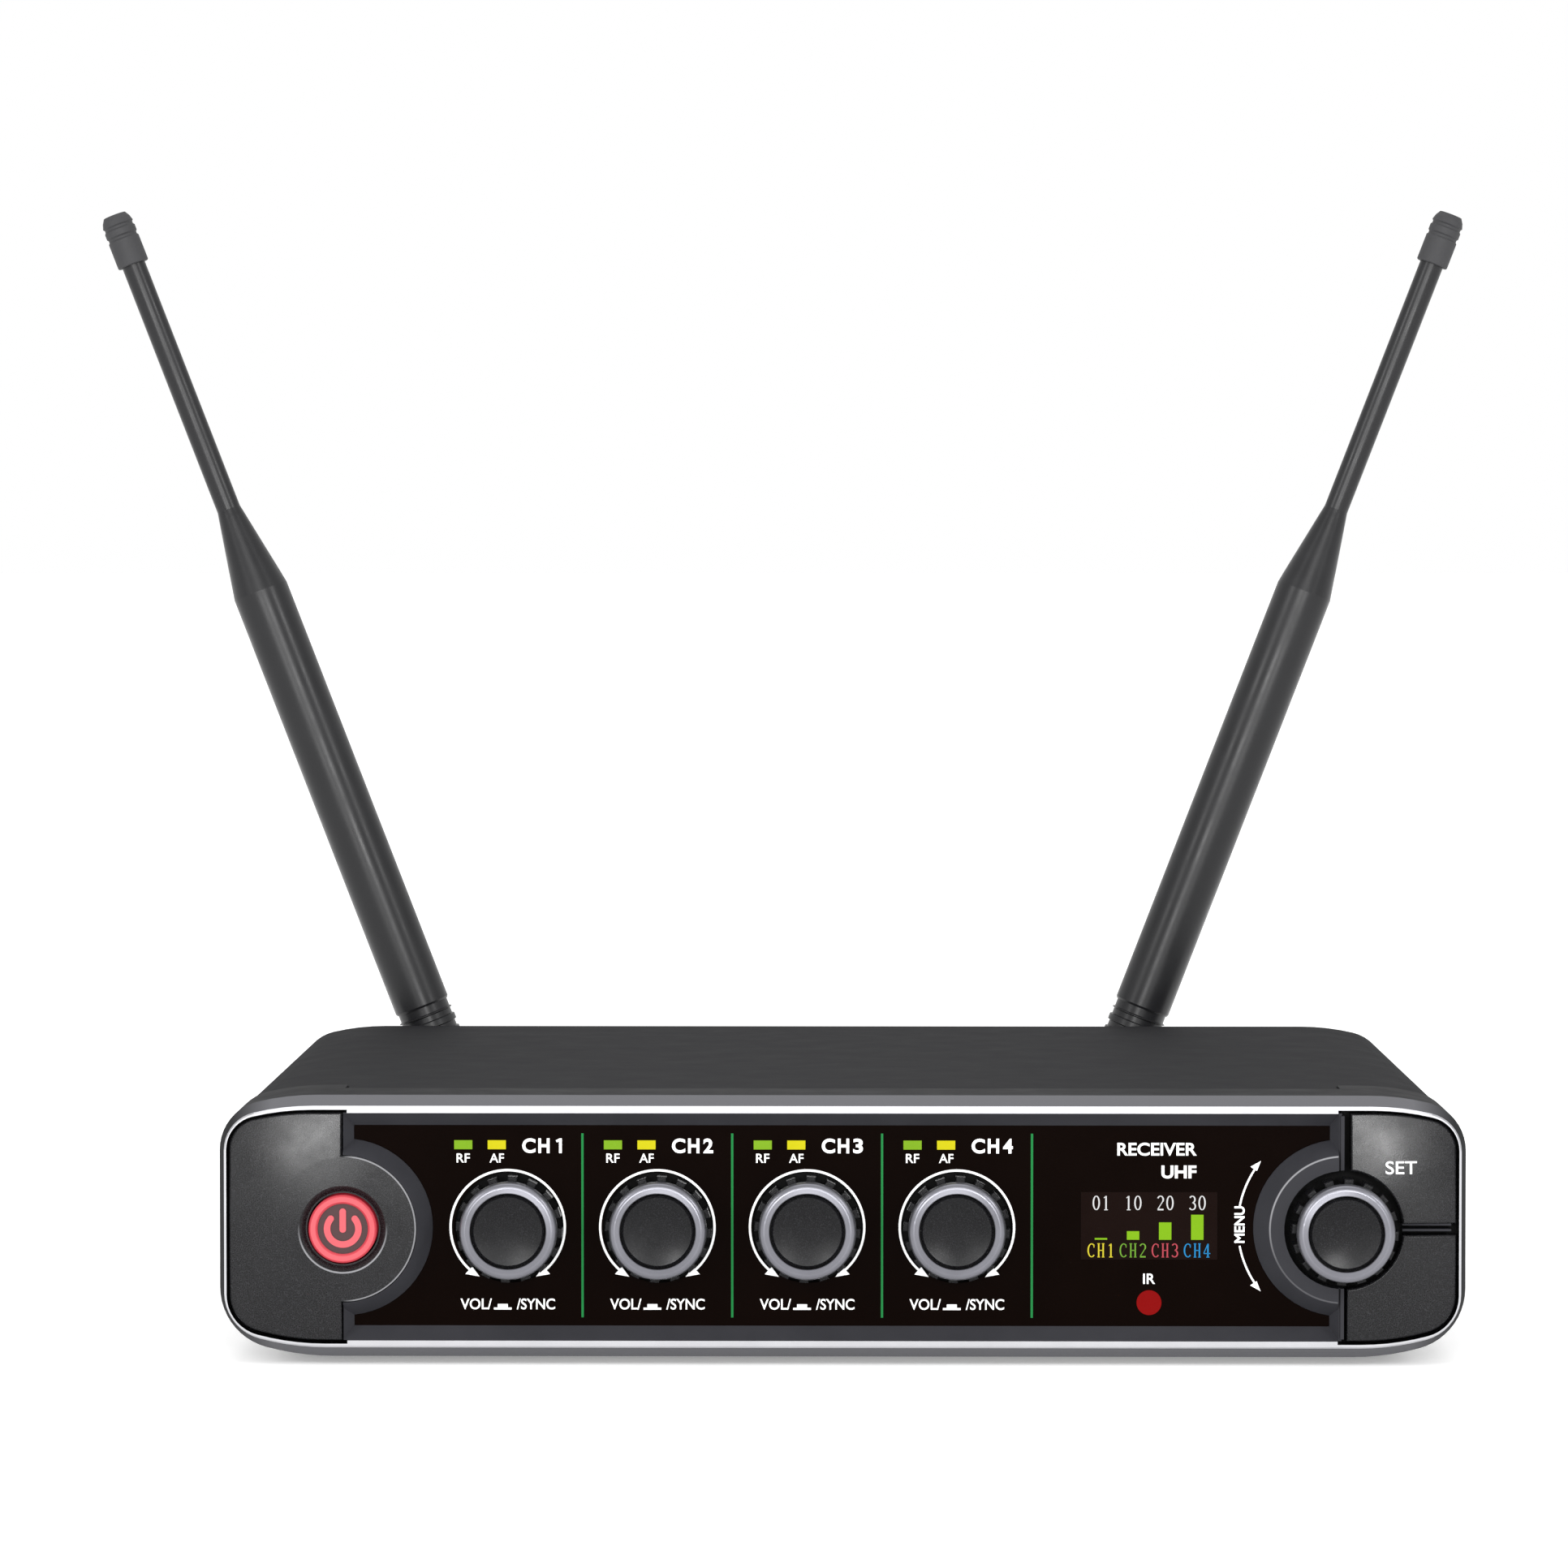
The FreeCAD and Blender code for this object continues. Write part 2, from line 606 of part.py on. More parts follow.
def tact_switches():
    """The two push switches behind the power and set buttons."""
    front, size = 10.2, 6.0
    switches = []
    for x, z in ((power_x, control_z), (set_x, set_z)):
        case = window(x, z, size, size, front, front_board_depth, 0)
        switches.append(case.fuse(rod(x, z, 1.7, front - 0.6, front)))
    return switches


def main_board():
    half, front, back = 92.0, 24.0, 148.0
    board = box(-half, half, front, back, main_board_z, board_top)
    holes = [post(side * post_x, depth, 4.2, 0, board_top + 1) for side in SIDES for depth in post_depths]
    return board.cut(fuse(holes))


def shield_cans():
    """Tin cans over the four receivers."""
    height, half, front, back = 6.0, 15.0, 46.0, 78.0
    cans = []
    for x in (-58, -20, 20, 58):
        can = box(x - half, x + half, front, back, board_top, board_top + height)
        corners = [e for e in can.Edges if abs(e.BoundBox.ZLength - height) < 1e-6]
        cans.append(can.makeFillet(1.2, corners))
    return cans


def board_components():
    """Chips, the processor, the ribbon's socket, capacitors and the power converter's coil."""
    parts = [box(x - 5, x + 5, 90, 100, board_top, board_top + 1.6) for x in (-58, -20, 20, 58)]
    parts.append(box(-12, 12, 104, 118, board_top, board_top + 1.8))
    parts.append(box(-ribbon_half_width - 2, ribbon_half_width + 2, 27, 32, board_top, board_top + 2.5))
    parts += [post(x, depth, 3.2, board_top, board_top + 9)
              for x, depth in ((40, 110), (50, 110), (-40, 112), (-50, 112), (86, 108))]
    parts.append(post(66, 112, 6.5, board_top, board_top + 7))
    return parts


def ribbon_cable():
    """Flat cable from the front board's socket, back and down to the main board."""
    thickness, bend = 0.9, 4.0
    top, low = middle_z - 2.3, board_top + 2.5
    y0, y1 = front_y + front_board_back + 3.0, front_y + ribbon_socket_depth
    centre = Vector(0, y1 - bend, top - bend)

    def run(offset):
        """Straight back, a quarter turn and straight down, as the corners of its three edges."""
        radius = bend - offset
        diagonal = radius / math.sqrt(2)
        return (Vector(0, y0, top - offset), centre + UP * radius, centre + Vector(0, diagonal, diagonal),
                centre + BACK * radius, Vector(0, y1 - offset, low))

    outer, inner = run(0), run(thickness)
    edges = []
    for line in (outer, inner):
        edges.append(Part.LineSegment(line[0], line[1]).toShape())
        edges.append(Part.Arc(line[1], line[2], line[3]).toShape())
        edges.append(Part.LineSegment(line[3], line[4]).toShape())
    edges += [Part.LineSegment(outer[n], inner[n]).toShape() for n in (0, 4)]
    face = Part.Face(Part.Wire(Part.__sortEdges__(edges)))
    strip = face.extrude(ACROSS * 2 * ribbon_half_width)
    strip.translate(ACROSS * -ribbon_half_width)
    return strip


# ---------------------------------------------------------------- rear sockets
def xlr_shells():
    """Metal sleeves of the balanced outputs, each with a flange outside the panel."""
    flange, edge, sleeve, front = 12.6, 0.3, 11.8, 136.0
    back = panel_back + 1.0
    return [turned(x, middle_z, [
        (xlr_radius, back), (flange - edge, back), (flange, back - edge), (flange, panel_back),
        (sleeve, panel_back), (sleeve, front), (xlr_radius, front)]) for x in xlr_xs]


def xlr_pin_rods(x, depth0, depth1):
    """The three contacts of one output, as plain rods."""
    circle, radius = 4.6, 1.2
    pins = []
    for angle in (30, 150, 270):
        turn = math.radians(angle)
        pin_x, pin_z = x + circle * math.cos(turn), middle_z + circle * math.sin(turn)
        pins.append(rod(pin_x, pin_z, radius, depth0, depth1))
    return pins


def xlr_inserts():
    """Insulators at the bottom of the sleeves, standing on the main board."""
    foot_front, seat, well_floor = 130.0, 136.0, 141.0
    bodies = []
    for x in xlr_xs:
        foot = box(x - 9, x + 9, foot_front, seat, board_top, middle_z + 8)
        body = rod(x, middle_z, xlr_radius - 0.05, seat, well_floor).fuse(foot)
        bodies.append(body.cut(fuse(xlr_pin_rods(x, seat - 1, well_floor + 1))))
    return bodies


def xlr_pins():
    tip = 153.2
    return [soften(pin, tip, 0.5) for x in xlr_xs for pin in xlr_pin_rods(x, 135, tip)]


def mix_jack():
    body = box(jack_x - 8, jack_x + 8, 128, panel_front, board_top, rear_low_z + 6.4)
    bush = rod(jack_x, rear_low_z, 5.0, 150, panel_back + 0.9)
    return body.fuse(bush).cut(rod(jack_x, rear_low_z, 3.2, 131, case_depth + ROOM))


def dc_inlet():
    body = box(inlet_x - 4.6, inlet_x + 4.6, 141, panel_front, board_top, rear_low_z + 4.6)
    bush = rod(inlet_x, rear_low_z, 4.0, 150, panel_back + 0.7)
    body = body.fuse(bush).cut(rod(inlet_x, rear_low_z, 2.9, 143, case_depth + ROOM))
    return body.fuse(rod(inlet_x, rear_low_z, 1.05, 142, panel_back - 0.7))


# ---------------------------------------------------------------- antennas
def stand(solid, x, tilt):
    """Tip an upright piece over by tilt about the depth axis, then set it on its pivot."""
    solid.rotate(Vector(), BACK, tilt)
    solid.translate(Vector(x, front_y + antenna_depth, antenna_z))
    return solid


def antenna_socket(x):
    flange, edge, nut, bore = 6.5, 0.3, 4.5, shaft_radius + 0.05
    back = panel_back + 1.2
    return turned(x, antenna_z, [
        (bore, back), (flange - edge, back), (flange, back - edge), (flange, panel_back), (nut, panel_back),
        (nut, 149), (bore, 149)])


def antenna_elbow(x, tilt):
    """Swivelling fork: a spigot in the socket, a disc and two ears."""
    disc_front, disc_back, spigot_front = 156.6, 158.4, 149.6
    ear_inner, ear_thickness = 2.2, 1.9
    pivot = front_y + antenna_depth
    body = rod(0, 0, elbow_radius, disc_front, disc_back)
    body = body.fuse(rod(0, 0, shaft_radius, spigot_front, disc_front))
    envelope = rod(0, 0, elbow_radius, disc_front, antenna_depth + ROOM)
    for side in SIDES:
        start = min(side * ear_inner, side * (ear_inner + ear_thickness))
        ear = Part.makeCylinder(ear_radius, ear_thickness, Vector(start, pivot, 0), ACROSS)
        arm = box(start, start + ear_thickness, disc_back - 0.4, antenna_depth, -ear_radius, ear_radius)
        body = body.fuse(ear.fuse(arm).common(envelope))
    body = body.cut(Part.makeCylinder(hinge_radius, 2 * ROOM, Vector(-ROOM, pivot, 0), ACROSS))
    body.translate(Vector(0, -pivot, 0))
    return stand(body.removeSplitter(), x, tilt)


def hinge_pin(x, tilt):
    half = 4.1
    return stand(Part.makeCylinder(hinge_radius, 2 * half, Vector(-half, 0, 0), ACROSS), x, tilt)


def antenna_whip(x, tilt):
    """Ribbed collar, long sleeve, cone and thin rod on a tang that turns on the hinge pin."""
    collar_foot, groove_pitch, groove_count, groove = 8.0, 2.5, 7, 0.4
    sleeve_top, cone_top = 114.8, 130.2
    core_top = whip_length - 2.7
    profile = [(0, collar_foot), (whip_radius - 0.8, collar_foot), (whip_radius, collar_foot + 0.8)]
    for n in range(groove_count):
        height = collar_foot + 0.8 + groove_pitch * n
        profile += [(whip_radius, height + 1.1), (whip_radius - groove, height + 1.3),
                    (whip_radius - groove, height + 2.3), (whip_radius, height + 2.5)]
    neck = collar_foot + 18.6
    profile += [(whip_radius, neck - 0.2), (5.0, neck), (5.0, neck + 1.5), (5.2, neck + 1.5),
                (whip_radius, neck + 1.9), (whip_radius, sleeve_top), (rod_radius + 0.3, cone_top),
                (rod_radius, cone_top + 1.6), (rod_radius, core_top), (0, core_top)]
    tang_half, tang_radius = 2.0, 3.2
    tang = Part.makeCylinder(tang_radius, 2 * tang_half, Vector(-tang_half, 0, 0), ACROSS)
    tang = tang.fuse(Part.makeBox(2 * tang_half, 2 * tang_radius, 9, Vector(-tang_half, -tang_radius, 0)))
    body = upright(profile).fuse(tang)
    body = body.cut(Part.makeCylinder(hinge_radius + 0.05, ROOM, Vector(-ROOM / 2, 0, 0), ACROSS))
    return stand(body.removeSplitter(), x, tilt)


def antenna_tip(x, tilt):
    """Rubber cap with two grooves and a chamfered top."""
    foot, top, core_top = whip_length - 10.2, whip_length, whip_length - 2.7
    groove, bore = tip_radius - 0.24, rod_radius + 0.02
    profile = [(bore, foot), (tip_radius - 0.15, foot), (tip_radius, foot + 0.2)]
    for below in (5.0, 2.9):
        profile += [(tip_radius, top - below), (groove, top - below + 0.3), (groove, top - below + 0.7)]
        profile.append((tip_radius, top - below + 1.0))
    profile += [(tip_radius - 0.32, top - 0.9), (2.2, top), (0, top), (0, core_top), (bore, core_top)]
    return stand(upright(profile), x, tilt)


def antenna_lead(x):
    """Inner coaxial lead: straight out of the socket, then round and down to the main board."""
    radius, bend = 0.9, 6.0
    start_depth, turn_depth = 149.6, 143.0
    y1 = front_y + turn_depth
    centre = Vector(x, y1, antenna_z - bend)
    diagonal = bend / math.sqrt(2)
    points = [Vector(x, front_y + start_depth, antenna_z), Vector(x, y1, antenna_z),
              centre + Vector(0, -diagonal, diagonal), centre - BACK * bend, Vector(x, y1 - bend, board_top)]
    path = Part.Wire([
        Part.LineSegment(points[0], points[1]).toShape(),
        Part.Arc(points[1], points[2], points[3]).toShape(),
        Part.LineSegment(points[3], points[4]).toShape()])
    ring = Part.Wire(Part.makeCircle(radius, points[0], -BACK))
    return path.makePipeShell([ring], True, False)


# ---------------------------------------------------------------- all pieces
def all_parts():
    antennas = (("left", antenna_left_x, -antenna_tilt), ("right", antenna_right_x, antenna_tilt))
    parts = {
        "top_cover": top_cover(),
        "bottom_cover": bottom_cover(),
        "front_frame": front_frame(),
        "frame_trim": frame_trim(),
        "front_moulding": front_moulding(),
        "fascia_panel": fascia_panel(),
        "left_end_cap": left_end_cap(),
        "right_end_cap": right_end_cap(),
        "rear_panel": rear_panel(),
        "feet": feet(),
        "case_screws": case_screws(),
        "rear_screws": rear_screws(),
        "front_board": front_board(),
        "main_board": main_board(),
        "board_components": board_components(),
        "shield_cans": shield_cans(),
        "ribbon_cable": ribbon_cable(),
        "display_module": display_module(),
        "rf_light_pipes": light_pipes(rf_offset),
        "af_light_pipes": light_pipes(af_offset),
        "ir_window": ir_window(),
        "encoder_bodies": encoder_bodies(),
        "tact_switches": tact_switches(),
        "xlr_shells": xlr_shells(),
        "xlr_inserts": xlr_inserts(),
        "xlr_pins": xlr_pins(),
        "mix_jack": mix_jack(),
        "dc_inlet": dc_inlet(),
        "antenna_sockets": [antenna_socket(x) for _, x, _ in antennas],
        "antenna_leads": [antenna_lead(x) for _, x, _ in antennas],
        "power_button_lens": power_button_lens(),
        "power_button_face": power_button_face(),
        "set_button": set_button(),
        "menu_shaft": knob_shaft(dial_x, dial_front),
        "menu_knob": knob_core(dial_x, dial_front),
        "menu_ring": knob_ring(dial_x, dial_front),
    }
    for number, x in enumerate(knob_xs, 1):
        parts[f"encoder_rotor_{number}"] = encoder_rotor(x)
        parts[f"volume_shaft_{number}"] = knob_shaft(x, knob_front)
        parts[f"volume_knob_{number}"] = knob_core(x, knob_front)
        parts[f"volume_ring_{number}"] = knob_ring(x, knob_front)
    for name, x, tilt in antennas:
        parts[f"antenna_elbow_{name}"] = antenna_elbow(x, tilt)
        parts[f"antenna_pin_{name}"] = hinge_pin(x, tilt)
        parts[f"antenna_whip_{name}"] = antenna_whip(x, tilt)
        parts[f"antenna_tip_{name}"] = antenna_tip(x, tilt)
    return parts


def write(parts):
    os.makedirs("parts", exist_ok=True)
    for name, shape in parts.items():
        pieces = shape if isinstance(shape, list) else [shape]
        solids = [solid for piece in pieces for solid in piece.Solids]
        whole = solids[0] if len(solids) == 1 else Part.makeCompound(solids)
        whole.exportStep(f"parts/{name}.step")
        print(f"{name:22s} solids {len(solids):2d}  valid {whole.isValid()}  volume {whole.Volume:10.2f}")


write(all_parts())
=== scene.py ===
"""Looks of the wireless receiver: finishes, printed legends, display picture, lights and camera."""

import json
import math

import bmesh
import bpy
from mathutils import Matrix, Vector

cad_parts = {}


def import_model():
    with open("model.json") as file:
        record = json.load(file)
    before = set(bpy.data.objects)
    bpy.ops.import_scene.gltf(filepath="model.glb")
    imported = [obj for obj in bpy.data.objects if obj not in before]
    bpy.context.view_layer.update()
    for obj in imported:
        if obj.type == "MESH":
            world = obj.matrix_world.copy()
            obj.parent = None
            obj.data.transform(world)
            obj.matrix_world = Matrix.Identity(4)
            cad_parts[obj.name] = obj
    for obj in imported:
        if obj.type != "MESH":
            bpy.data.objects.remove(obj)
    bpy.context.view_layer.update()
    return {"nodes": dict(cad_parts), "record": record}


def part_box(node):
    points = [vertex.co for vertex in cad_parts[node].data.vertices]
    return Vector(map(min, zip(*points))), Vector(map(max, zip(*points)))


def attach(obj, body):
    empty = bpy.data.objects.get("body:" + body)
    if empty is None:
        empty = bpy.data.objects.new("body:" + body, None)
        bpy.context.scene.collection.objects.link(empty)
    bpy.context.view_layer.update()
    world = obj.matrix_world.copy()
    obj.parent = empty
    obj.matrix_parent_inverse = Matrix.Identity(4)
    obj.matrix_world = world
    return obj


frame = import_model()

MM = 0.001

# ---------------------------------------------------------------- sizes of the CAD parts that no box tells
BEVEL_DEPTH = 2.0 * MM         # how far the bezel's front bevel reaches back
LENS_RING = 1.5 * MM           # width of the power button's lit ring
BULGE_RADIUS = 12.5 * MM       # round fronts of the two ends
WELL_RADIUS = 7.3 * MM         # well of the power button
CROWN_RADIUS = 130.0 * MM      # ball that the fronts of the ends are part of
DIAL_RECESS = 10.0 * MM        # radius of the menu dial's recess, which cuts the crown's middle away
RF_LEFT = 7.5 * MM             # how far the RF lamp stands left of its column
AF_LEFT = 1.83 * MM            # how far the AF lamp does
LAMP_HALF = 1.525 * MM         # half a lamp's width

# ---------------------------------------------------------------- places read from the frame
bezel_low, bezel_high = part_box("front_frame")
fascia_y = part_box("fascia_panel")[0].y
display_low, display_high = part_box("display_module")
dial_low, dial_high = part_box("menu_knob")
set_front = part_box("set_button")[0].y
lens_low, lens_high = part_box("power_button_lens")
lamps_low, lamps_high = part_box("rf_light_pipes")
middle_z = (bezel_low.z + bezel_high.z) / 2
display_x = (display_low.x + display_high.x) / 2
dial = (dial_low + dial_high) / 2
lens = (lens_low + lens_high) / 2


def four_places(first, last):
    """Four places, evenly spaced from first to last."""
    return [first + (last - first) * n / 3 for n in range(4)]


columns = four_places(lamps_low.x + LAMP_HALF + RF_LEFT, lamps_high.x - LAMP_HALF + RF_LEFT)

# ---------------------------------------------------------------- material nodes
DRIFT_SIZE = 9 * MM                      # size of the patches in which tone and gloss drift
SMOOTHEST = 0.02                         # least roughness of any finish
FLECK_START, FLECK_END = 0.48, 0.75      # fine noise from which a painted sparkle fleck shows, and from which it is full


def noise(tree, coords, size, detail, rough):
    """Noise texture whose features are about size metres across."""
    texture = tree.nodes.new("ShaderNodeTexNoise")
    texture.inputs["Scale"].default_value = 1.0 / size
    texture.inputs["Detail"].default_value = detail
    texture.inputs["Roughness"].default_value = rough
    tree.links.new(coords, texture.inputs["Vector"])
    return texture.outputs["Fac"]


def spread(tree, value, low, high, start=0.3, end=0.7):
    """Maps a value from start..end to low..high; most of a noise lies between the two defaults."""
    node = tree.nodes.new("ShaderNodeMapRange")
    for name, number in (("From Min", start), ("From Max", end), ("To Min", low), ("To Max", high)):
        node.inputs[name].default_value = number
    tree.links.new(value, node.inputs["Value"])
    return node.outputs["Result"]


def math_node(tree, operation, first, second=None):
    """Result of a Math node; first is a socket, and second is a socket, a number or nothing."""
    node = tree.nodes.new("ShaderNodeMath")
    node.operation = operation
    tree.links.new(first, node.inputs[0])
    if isinstance(second, (int, float)):
        node.inputs[1].default_value = second
    elif second is not None:
        tree.links.new(second, node.inputs[1])
    return node.outputs["Value"]


def product(tree, first, second):
    """Product of two shares."""
    return math_node(tree, "MULTIPLY", first, second)


def gap(tree, first, second):
    """How far two numbers lie apart."""
    return math_node(tree, "ABSOLUTE", math_node(tree, "SUBTRACT", first, second))


def blend_colours(tree, share, first, second):
    """Runs from the first colour, which may be a socket, to the second one as share goes from 0 to 1."""
    node = tree.nodes.new("ShaderNodeMix")
    node.data_type = "RGBA"
    if isinstance(first, tuple):
        node.inputs["A"].default_value = (*first, 1)
    else:
        tree.links.new(first, node.inputs["A"])
    node.inputs["B"].default_value = (*second, 1)
    tree.links.new(share, node.inputs["Factor"])
    return node.outputs["Result"]


def paint_over(tree, share, colour):
    """Covers a finish's colour with another one, as far as the socket share says."""
    base = tree.nodes["Principled BSDF"].inputs["Base Color"]
    paint = base.links[0].from_socket
    tree.links.new(blend_colours(tree, share, paint, colour), base)


def place_of(tree):
    """Sockets with the X, Y and Z of the point that a finish is on."""
    coords = next(node for node in tree.nodes if node.type == "TEX_COORD").outputs["Object"]
    split = tree.nodes.new("ShaderNodeSeparateXYZ")
    tree.links.new(coords, split.inputs["Vector"])
    return [split.outputs[axis] for axis in "XYZ"]


def distance_from(tree, x, z, centre):
    """Distance of a point from the front-to-back axis through centre."""
    aside = math_node(tree, "POWER", math_node(tree, "SUBTRACT", x, centre.x), 2.0)
    above = math_node(tree, "POWER", math_node(tree, "SUBTRACT", z, centre.z), 2.0)
    return math_node(tree, "SQRT", math_node(tree, "ADD", aside, above))


# ---------------------------------------------------------------- finishes
def finish(name, colour, roughness, metallic=0.0, specular=0.5, grain=0.25, depth=0.01, tone=0.08, rub=0.06,
           glow=None, glow_strength=0.0, sparkle_fleck=None):
    """Moulded, painted or turned surface: fine grain in the relief, slow drift in tone and gloss.

    grain and depth are the size and height of the relief in millimetres, tone is the share by which the
    colour drifts and rub the amount by which roughness does; the fleck colour, if given, is that of fine
    pale flecks painted in as sparkle.
    """
    material = bpy.data.materials.new(name)
    material.use_nodes = True
    tree = material.node_tree
    shader = tree.nodes["Principled BSDF"]
    shader.inputs["Metallic"].default_value = metallic
    shader.inputs["Specular IOR Level"].default_value = specular
    coords = tree.nodes.new("ShaderNodeTexCoord").outputs["Object"]
    fine = noise(tree, coords, grain * MM, detail=2.0, rough=0.5)
    slow = noise(tree, coords, DRIFT_SIZE, detail=4.0, rough=0.6)
    darker = tuple(c * (1 - tone) for c in colour)
    lighter = tuple(min(1.0, c * (1 + tone)) for c in colour)
    drift = spread(tree, slow, 0.0, 1.0)
    tree.links.new(blend_colours(tree, drift, darker, lighter), shader.inputs["Base Color"])
    # painted sparkle: pale flecks on the fine grain
    if sparkle_fleck:
        paint_over(tree, spread(tree, fine, 0, 1, FLECK_START, FLECK_END), sparkle_fleck)
    gloss = spread(tree, slow, max(SMOOTHEST, roughness - rub), min(1.0, roughness + rub))
    tree.links.new(gloss, shader.inputs["Roughness"])
    if depth:
        bump = tree.nodes.new("ShaderNodeBump")
        bump.inputs["Strength"].default_value = 1.0
        bump.inputs["Distance"].default_value = depth * MM
        tree.links.new(fine, bump.inputs["Height"])
        tree.links.new(bump.outputs["Normal"], shader.inputs["Normal"])
    if glow:
        shader.inputs["Emission Color"].default_value = (*glow, 1)
        shader.inputs["Emission Strength"].default_value = glow_strength
    return material


def bezel_finish():
    """Dark paint, with the long front bevels painted lighter as a painted sheen that fades out round the
    ends.
    """
    material = finish("bezel_grey", (0.020, 0.020, 0.021), 0.6, specular=0.03, grain=0.18, depth=0.004)
    tree = material.node_tree
    x, y, _ = place_of(tree)
    bevel_back, blur = bezel_low.y + BEVEL_DEPTH, 0.05 * MM
    fade_start, fade_end = bezel_high.x - 9 * MM, bezel_high.x - 2 * MM
    front = spread(tree, y, 1, 0, bevel_back - blur, bevel_back + blur)
    middle = spread(tree, math_node(tree, "ABSOLUTE", x), 1, 0, fade_start, fade_end)
    # painted sheen: the front bevels are painted a lighter grey, fading out towards the ends
    bevel_sheen_grey = (0.10, 0.10, 0.107)
    paint_over(tree, product(tree, front, middle), bevel_sheen_grey)
    return material


RIM_HIGHLIGHT = (0.20, 0.20, 0.21)      # painted highlights on the rims of the dark plastic pieces
RIM_WIDTH = 0.36 * MM


def rim_share(tree, reach, radius):
    """Mask of a painted rim highlight: one on a thin ring at the radius, fading to nothing over half its
    width on either side.
    """
    return spread(tree, gap(tree, reach, radius), 1, 0, RIM_WIDTH / 4, RIM_WIDTH / 2)


def moulding_finish():
    """Dark plastic, painted nearly black behind the fascia's front as painted shade in the well, with a
    painted highlight on the rim of the dial's seat, strongest at its top.
    """
    material = finish("moulding_dark", (0.025, 0.025, 0.029), 0.6, specular=0.10, grain=0.3, depth=0.006)
    tree = material.node_tree
    x, y, z = place_of(tree)
    # painted shade: deeper than the fascia's front the plastic is painted nearly black
    well_shade_black, well_start, well_full = (0.003, 0.003, 0.003), fascia_y + 0.5 * MM, fascia_y + 1.3 * MM
    paint_over(tree, spread(tree, y, 0, 1, well_start, well_full), well_shade_black)
    # painted highlight on the rim of the dial's seat, dimmer low down and only left of the dial's middle
    rim = rim_share(tree, distance_from(tree, x, z, dial), BULGE_RADIUS - 0.12 * MM)
    dim, dim_z, bright_z = 0.25, dial.z - 6 * MM, dial.z + 4 * MM
    upper = spread(tree, z, dim, 1, dim_z, bright_z)
    rim_end, blur = dial.x - 0.8 * MM, 0.2 * MM
    left = spread(tree, x, 1, 0, rim_end - blur, rim_end)
    paint_over(tree, product(tree, product(tree, rim, upper), left), RIM_HIGHLIGHT)
    return material


def end_cap_finish():
    """Satin plastic with pale flecks painted in as sparkle, and painted highlights on the rims of the round
    front and of the power button's well.
    """
    material = finish("end_cap_satin", (0.004, 0.004, 0.0045), 0.235, specular=0.24, grain=0.16, depth=0.008,
                      sparkle_fleck=(0.026, 0.026, 0.029))
    tree = material.node_tree
    x, _, z = place_of(tree)
    reach = distance_from(tree, x, z, lens)
    # painted highlight on the rim of the round front, right of the lens' middle
    front_rim_highlight = rim_share(tree, reach, BULGE_RADIUS - 0.25 * MM)
    right_start, right_full = lens.x, lens.x + 2 * MM
    right = spread(tree, x, 0, 1, right_start, right_full)
    paint_over(tree, product(tree, front_rim_highlight, right), RIM_HIGHLIGHT)
    # painted highlight on the lower part of the well's rim
    well_rim_highlight = rim_share(tree, reach, WELL_RADIUS + 0.1 * MM)
    lower_full, lower_end = lens.z - 4 * MM, lens.z + 1 * MM
    lower = spread(tree, z, 1, 0, lower_full, lower_end)
    paint_over(tree, product(tree, well_rim_highlight, lower), RIM_HIGHLIGHT)
    return material


def lens_finish():
    """Red light guide, glowing in its middle and deeper red along the rims of its ring."""
    material = finish("lens_red_lit", (0.30, 0.02, 0.03), 0.35, depth=0.003, glow=(1, 0.14, 0.17),
                      glow_strength=0.34)
    tree = material.node_tree
    x, _, z = place_of(tree)
    outer = (lens_high.x - lens_low.x) / 2
    inner, blur = outer - LENS_RING, 0.1 * MM
    rim_start, rim_full = 0.25 * LENS_RING, 0.48 * LENS_RING      # counted from the ring's middle
    reach = distance_from(tree, x, z, lens)
    rims = spread(tree, gap(tree, reach, outer - LENS_RING / 2), 0, 1, rim_start, rim_full)
    inside = spread(tree, reach, 1, 0, inner - blur, inner)
    deep = math_node(tree, "SUBTRACT", rims, inside)
    bright_red, deep_red = (0.97, 0.15, 0.18), (0.42, 0.02, 0.035)
    glow = blend_colours(tree, deep, bright_red, deep_red)
    tree.links.new(glow, tree.nodes["Principled BSDF"].inputs["Emission Color"])
    return material


def pixel_light(name, glow):
    """Lit pixels of the display; what they reflect is a fifth of what glows."""
    colour = tuple(0.2 * c for c in glow)
    return finish(name, colour, 0.5, specular=0.03, depth=0.0, glow=glow, glow_strength=0.58)


